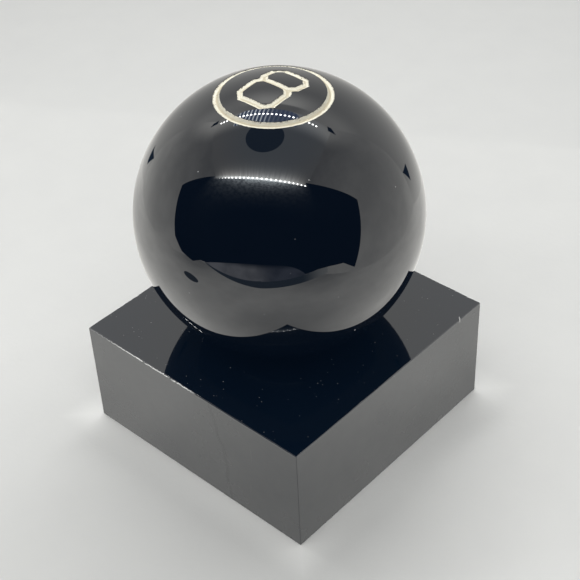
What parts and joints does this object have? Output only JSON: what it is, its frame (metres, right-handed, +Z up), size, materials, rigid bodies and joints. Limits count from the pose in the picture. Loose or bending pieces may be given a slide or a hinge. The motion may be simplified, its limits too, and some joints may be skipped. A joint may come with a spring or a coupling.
{
  "type": "eight ball on a square block",
  "caption": "Polished black stone ball with an engraved, paint-filled 8 in a ring on top, resting in a shallow dish in a square black stone block.",
  "frame": {"origin": "centre of the block's underside, on the surface it stands on", "axes": "+Z up through the ball's centre, +Y to the top of the figure 8, +X to its right, both square with the block"},
  "size_m": [0.0578, 0.0578, 0.0794],
  "materials": {
    "block_stone": "polished top, finely honed sides",
    "ball_stone": "mirror polished",
    "ring_paint": "hand-filled cream paint, satin",
    "numeral_paint": "hand-filled cream paint, satin"
  },
  "bodies": {
    "base": {"base_block": "block_stone"},
    "ball": {"ball": "ball_stone", "ring_inlay": "ring_paint", "numeral_inlay": "numeral_paint"}
  },
  "joints": [
    {"name": "ball_lift", "type": "slide", "parent": "base", "child": "ball", "axis": [0, 0, 1], "range_m": [0, 0.06]}
  ]
}
